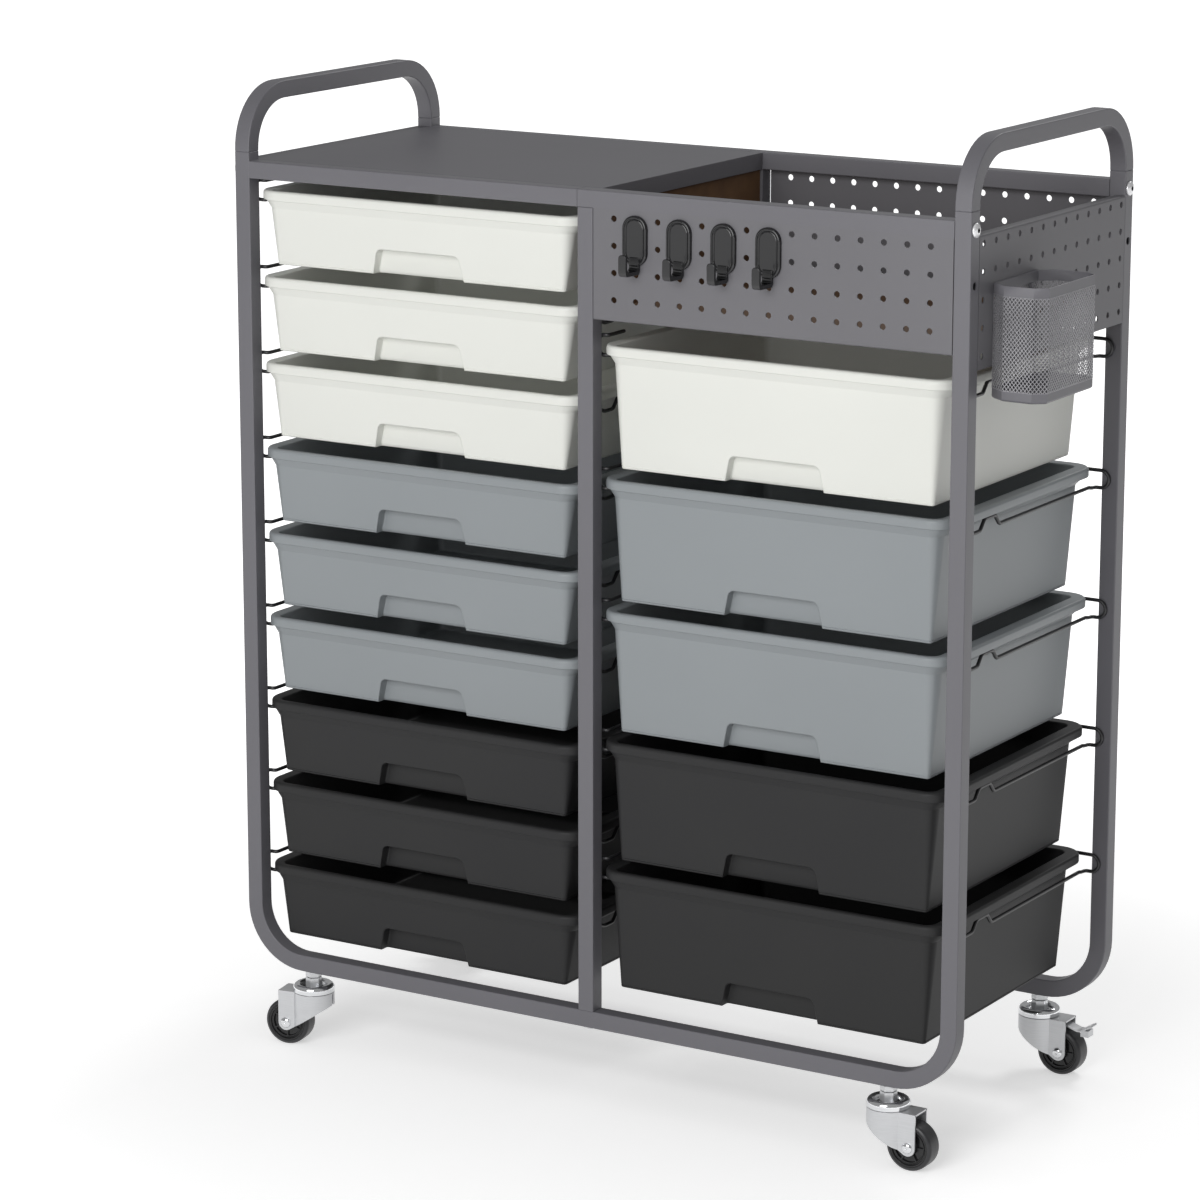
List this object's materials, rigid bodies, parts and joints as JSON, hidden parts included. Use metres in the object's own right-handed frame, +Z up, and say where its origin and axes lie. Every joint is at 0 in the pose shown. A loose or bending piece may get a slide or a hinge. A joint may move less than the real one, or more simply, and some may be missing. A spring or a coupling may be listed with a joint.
{
  "type": "rolling drawer cart",
  "caption": "Rolling storage cart: shallow drawers under a top board beside deep drawers under an open perforated bin, in a bent square tube frame on swivel casters.",
  "frame": {"origin": "on the floor, under the centre of the bounding box", "axes": "+X to the right and +Y to the back as seen from the drawer fronts, +Z up"},
  "size_m": [0.9152, 0.3962, 1.027],
  "materials": {
    "frame_paint": "dark grey, fine satin powder coat",
    "panel_paint": "dark grey, fine satin powder coat",
    "plug": "black",
    "screw": "bright plated",
    "board_laminate": "dark grey laminate over board",
    "hardboard": "plain brown hardboard",
    "wire_paint": "black satin coat",
    "hook_paint": "dark grey satin coat",
    "drawer_white": "white, satin",
    "drawer_grey": "mid grey, satin",
    "drawer_black": "black, satin",
    "zinc": "zinc plated",
    "bright_plate": "bright plated",
    "hub": "black, glossy",
    "tyre": "dark rubber"
  },
  "bodies": {
    "frame": {"front_frame": "frame_paint", "back_frame": "frame_paint", "left_handle": "frame_paint", "right_handle": "frame_paint", "front_middle_post": "frame_paint", "back_middle_post": "frame_paint", "front_top_rail": "frame_paint", "back_top_rail": "frame_paint", "rail_plugs": "plug", "rail_screws": "screw", "post_screws": "screw", "top_board": "board_laminate", "front_panel": "panel_paint", "back_panel": "panel_paint", "side_panel": "panel_paint", "bin_divider": "hardboard", "bin_floor": "hardboard", "left_runner_wires": "wire_paint", "right_runner_wires": "wire_paint", "pen_cup": "panel_paint", "peg_hook_1": "hook_paint", "peg_hook_2": "hook_paint", "peg_hook_3": "hook_paint", "peg_hook_4": "hook_paint", "caster_stems": "zinc", "caster_jam_nuts": "zinc", "caster_races": "bright_plate"},
    "small_drawer_1": {"small_drawer_1": "drawer_white"},
    "small_drawer_2": {"small_drawer_2": "drawer_white"},
    "small_drawer_3": {"small_drawer_3": "drawer_white"},
    "small_drawer_4": {"small_drawer_4": "drawer_grey"},
    "small_drawer_5": {"small_drawer_5": "drawer_grey"},
    "small_drawer_6": {"small_drawer_6": "drawer_grey"},
    "small_drawer_7": {"small_drawer_7": "drawer_black"},
    "small_drawer_8": {"small_drawer_8": "drawer_black"},
    "small_drawer_9": {"small_drawer_9": "drawer_black"},
    "deep_drawer_1": {"deep_drawer_1": "drawer_white"},
    "deep_drawer_2": {"deep_drawer_2": "drawer_grey"},
    "deep_drawer_3": {"deep_drawer_3": "drawer_grey"},
    "deep_drawer_4": {"deep_drawer_4": "drawer_black"},
    "deep_drawer_5": {"deep_drawer_5": "drawer_black"},
    "front_left_swivel": {"front_left_fork": "zinc", "front_left_axle": "bright_plate"},
    "front_left_wheel": {"front_left_hub": "hub", "front_left_tyre": "tyre"},
    "front_right_swivel": {"front_right_fork": "zinc", "front_right_axle": "bright_plate"},
    "front_right_wheel": {"front_right_hub": "hub", "front_right_tyre": "tyre"},
    "back_left_swivel": {"back_left_fork": "zinc", "back_left_axle": "bright_plate"},
    "back_left_wheel": {"back_left_hub": "hub", "back_left_tyre": "tyre"},
    "back_left_brake_lever": {"back_left_brake": "zinc"},
    "back_right_swivel": {"back_right_fork": "zinc", "back_right_axle": "bright_plate"},
    "back_right_wheel": {"back_right_hub": "hub", "back_right_tyre": "tyre"},
    "back_right_brake_lever": {"back_right_brake": "zinc"}
  },
  "joints": [
    {"name": "small_drawer_1_slide", "type": "slide", "parent": "frame", "child": "small_drawer_1", "axis": [0, -1, 0], "range_m": [0, 0.25]},
    {"name": "small_drawer_2_slide", "type": "slide", "parent": "frame", "child": "small_drawer_2", "axis": [0, -1, 0], "range_m": [0, 0.25]},
    {"name": "small_drawer_3_slide", "type": "slide", "parent": "frame", "child": "small_drawer_3", "axis": [0, -1, 0], "range_m": [0, 0.25]},
    {"name": "small_drawer_4_slide", "type": "slide", "parent": "frame", "child": "small_drawer_4", "axis": [0, -1, 0], "range_m": [0, 0.25]},
    {"name": "small_drawer_5_slide", "type": "slide", "parent": "frame", "child": "small_drawer_5", "axis": [0, -1, 0], "range_m": [0, 0.25]},
    {"name": "small_drawer_6_slide", "type": "slide", "parent": "frame", "child": "small_drawer_6", "axis": [0, -1, 0], "range_m": [0, 0.25]},
    {"name": "small_drawer_7_slide", "type": "slide", "parent": "frame", "child": "small_drawer_7", "axis": [0, -1, 0], "range_m": [0, 0.25]},
    {"name": "small_drawer_8_slide", "type": "slide", "parent": "frame", "child": "small_drawer_8", "axis": [0, -1, 0], "range_m": [0, 0.25]},
    {"name": "small_drawer_9_slide", "type": "slide", "parent": "frame", "child": "small_drawer_9", "axis": [0, -1, 0], "range_m": [0, 0.25]},
    {"name": "deep_drawer_1_slide", "type": "slide", "parent": "frame", "child": "deep_drawer_1", "axis": [0, -1, 0], "range_m": [0, 0.25]},
    {"name": "deep_drawer_2_slide", "type": "slide", "parent": "frame", "child": "deep_drawer_2", "axis": [0, -1, 0], "range_m": [0, 0.25]},
    {"name": "deep_drawer_3_slide", "type": "slide", "parent": "frame", "child": "deep_drawer_3", "axis": [0, -1, 0], "range_m": [0, 0.25]},
    {"name": "deep_drawer_4_slide", "type": "slide", "parent": "frame", "child": "deep_drawer_4", "axis": [0, -1, 0], "range_m": [0, 0.25]},
    {"name": "deep_drawer_5_slide", "type": "slide", "parent": "frame", "child": "deep_drawer_5", "axis": [0, -1, 0], "range_m": [0, 0.25]},
    {"name": "front_left_swivel_turn", "type": "hinge", "parent": "frame", "child": "front_left_swivel", "pos_m": [-0.3764, -0.16315, 0.06], "axis": [0, 0, 1], "continuous": true},
    {"name": "front_left_wheel_roll", "type": "hinge", "parent": "front_left_swivel", "child": "front_left_wheel", "pos_m": [-0.40397, -0.16801, 0.025], "axis": [0.1736, -0.9848, 0], "continuous": true},
    {"name": "front_right_swivel_turn", "type": "hinge", "parent": "frame", "child": "front_right_swivel", "pos_m": [0.3196, -0.16315, 0.06], "axis": [0, 0, 1], "continuous": true},
    {"name": "front_right_wheel_roll", "type": "hinge", "parent": "front_right_swivel", "child": "front_right_wheel", "pos_m": [0.3476, -0.16315, 0.025], "axis": [0, 1, 0], "continuous": true},
    {"name": "back_left_swivel_turn", "type": "hinge", "parent": "frame", "child": "back_left_swivel", "pos_m": [-0.3764, 0.17585, 0.06], "axis": [0, 0, 1], "continuous": true},
    {"name": "back_left_wheel_roll", "type": "hinge", "parent": "back_left_swivel", "child": "back_left_wheel", "pos_m": [-0.40397, 0.18071, 0.025], "axis": [-0.1736, -0.9848, 0], "continuous": true},
    {"name": "back_left_brake_press", "type": "hinge", "parent": "back_left_swivel", "child": "back_left_brake_lever", "pos_m": [-0.3961, 0.17932, 0.0555], "axis": [-0.1736, -0.9848, 0], "range_deg": [0, 8]},
    {"name": "back_right_swivel_turn", "type": "hinge", "parent": "frame", "child": "back_right_swivel", "pos_m": [0.3196, 0.17585, 0.06], "axis": [0, 0, 1], "continuous": true},
    {"name": "back_right_wheel_roll", "type": "hinge", "parent": "back_right_swivel", "child": "back_right_wheel", "pos_m": [0.3476, 0.17585, 0.025], "axis": [0, 1, 0], "continuous": true},
    {"name": "back_right_brake_press", "type": "hinge", "parent": "back_right_swivel", "child": "back_right_brake_lever", "pos_m": [0.3396, 0.17585, 0.0555], "axis": [0, 1, 0], "range_deg": [0, 8]}
  ]
}
